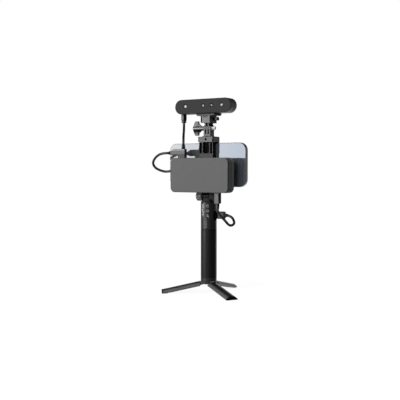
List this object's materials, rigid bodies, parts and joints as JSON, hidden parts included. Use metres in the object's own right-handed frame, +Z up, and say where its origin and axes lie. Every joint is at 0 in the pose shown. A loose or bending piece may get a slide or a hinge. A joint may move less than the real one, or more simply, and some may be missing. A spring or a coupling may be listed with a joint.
{
  "type": "three-dimensional scanner",
  "caption": "Hand-held 3-D scanner head on a battery handle with folding tripod legs, a tilting phone clamp, a wireless unit and leads.",
  "frame": {"origin": "on the ground, on the axis of the handle", "axes": "+Z up along the handle, -Y the way the scanner looks, +X to the right of someone who faces the lenses"},
  "size_m": [0.1902, 0.1364, 0.3468],
  "materials": {
    "satin_black": "satin black moulded plastic",
    "dark_grey_plastic": "fine matte dark grey moulded plastic",
    "clamp_plastic": "matte dark grey glass-filled plastic",
    "head_plastic": "fine matte dark grey plastic",
    "cord_jacket": "smooth grey PVC cable jacket",
    "plug_plastic": "matte grey overmould",
    "black_rubber": "matt black rubber",
    "steel": "plain zinc-plated steel",
    "alloy": "anodised dark aluminium",
    "black_alloy": "black anodised aluminium",
    "cell_wrap": "shrink sleeve over a steel can",
    "board": "green circuit board",
    "key_plastic": "matte grey key caps",
    "light_pipe": "frosted light pipe",
    "lens_glass": "coated camera glass",
    "phone_glass": "glossy pale blue-grey glass back",
    "phone_frame": "polished grey metal frame",
    "screen_glass": "black glass screen"
  },
  "bodies": {
    "handle": {"hub": "satin_black", "leg_pins": "steel", "handle_tube": "alloy", "grip_sleeve": "satin_black", "battery_cell": "cell_wrap", "control_housing": "dark_grey_plastic", "indicator_lights": "light_pipe", "control_board": "board", "side_socket": "satin_black", "handle_cap": "satin_black", "neck_screw": "steel", "neck": "clamp_plastic", "handle_plug": "plug_plastic", "handle_lead": "cord_jacket"},
    "leg_back": {"leg_back": "satin_black", "foot_back": "black_rubber"},
    "leg_left": {"leg_left": "satin_black", "foot_left": "black_rubber"},
    "leg_right": {"leg_right": "satin_black", "foot_right": "black_rubber"},
    "key_upper": {"key_upper": "key_plastic"},
    "key_middle": {"key_middle": "key_plastic"},
    "key_lower": {"key_lower": "key_plastic"},
    "clamp": {"clamp_frame": "clamp_plastic", "tilt_nut": "steel", "lower_jaw_pad": "black_rubber", "return_spring": "steel", "unit_bracket": "satin_black", "unit_front_shell": "dark_grey_plastic", "unit_rear_shell": "dark_grey_plastic", "unit_board": "board", "unit_cell": "cell_wrap", "junction": "plug_plastic", "lower_plug": "plug_plastic", "back_plug": "plug_plastic", "loop_lead": "cord_jacket", "scanner_lead_lower": "cord_jacket"},
    "tilt_knob": {"tilt_knob": "alloy"},
    "jaw": {"upper_jaw": "clamp_plastic", "upper_jaw_pad": "black_rubber", "slide_bar": "black_alloy", "prong_base": "clamp_plastic", "thumb_nut": "steel", "scanner_lead_upper": "cord_jacket"},
    "head": {"fork": "clamp_plastic", "clamp_block": "clamp_plastic", "clamp_cheek": "satin_black", "quick_plate": "clamp_plastic", "plate_cushion": "black_rubber", "mount_screw": "steel", "head_front_shell": "head_plastic", "head_rear_shell": "head_plastic", "camera_board": "board", "lens_glasses": "lens_glass", "head_plug": "plug_plastic"},
    "thumb_screw": {"thumb_screw": "alloy"},
    "plate_knob": {"plate_knob": "black_alloy"},
    "phone": {"phone_body": "phone_frame", "phone_screen": "screen_glass", "phone_back": "phone_glass"}
  },
  "joints": [
    {"name": "leg_back_fold", "type": "hinge", "parent": "handle", "child": "leg_back", "pos_m": [0, 0.0114, 0.0198], "axis": [-1, 0, 0], "range_deg": [0, 77.2]},
    {"name": "leg_left_fold", "type": "hinge", "parent": "handle", "child": "leg_left", "pos_m": [-0.00987, -0.0057, 0.0198], "axis": [0.5, -0.866, 0], "range_deg": [0, 77.2]},
    {"name": "leg_right_fold", "type": "hinge", "parent": "handle", "child": "leg_right", "pos_m": [0.00987, -0.0057, 0.0198], "axis": [0.5, 0.866, 0], "range_deg": [0, 77.2]},
    {"name": "key_upper_press", "type": "slide", "parent": "handle", "child": "key_upper", "axis": [-0.3907, 0.9205, 0], "range_m": [0, 0.0006], "stiffness_N_per_m": 400, "springref_m": -0.001},
    {"name": "key_middle_press", "type": "slide", "parent": "handle", "child": "key_middle", "axis": [-0.3907, 0.9205, 0], "range_m": [0, 0.0006], "stiffness_N_per_m": 400, "springref_m": -0.001},
    {"name": "key_lower_press", "type": "slide", "parent": "handle", "child": "key_lower", "axis": [-0.3907, 0.9205, 0], "range_m": [0, 0.0006], "stiffness_N_per_m": 400, "springref_m": -0.001},
    {"name": "clamp_tilt", "type": "hinge", "parent": "handle", "child": "clamp", "pos_m": [0, 0, 0.1741], "axis": [1, 0, 0], "range_deg": [-30, 30], "deforming": ["handle_lead"]},
    {"name": "tilt_knob_turn", "type": "hinge", "parent": "clamp", "child": "tilt_knob", "pos_m": [-0.017, 0, 0.1741], "axis": [1, 0, 0], "range_deg": [-270, 0]},
    {"name": "jaw_slide", "type": "slide", "parent": "clamp", "child": "jaw", "axis": [0, 0, 1], "range_m": [0, 0.008], "stiffness_N_per_m": 300, "springref_m": -0.02, "deforming": ["return_spring", "scanner_lead_lower"]},
    {"name": "head_tilt", "type": "hinge", "parent": "jaw", "child": "head", "pos_m": [0, 0, 0.295], "axis": [1, 0, 0], "range_deg": [-30, 45], "deforming": ["scanner_lead_upper"]},
    {"name": "thumb_screw_turn", "type": "hinge", "parent": "head", "child": "thumb_screw", "pos_m": [-0.026, 0, 0.295], "axis": [1, 0, 0], "range_deg": [-270, 0]},
    {"name": "plate_knob_turn", "type": "hinge", "parent": "head", "child": "plate_knob", "pos_m": [0.015, 0.002, 0.3114], "axis": [1, 0, 0], "range_deg": [-270, 0]},
    {"name": "phone_slide", "type": "slide", "parent": "clamp", "child": "phone", "axis": [1, 0, 0], "range_m": [-0.02, 0.02]}
  ]
}
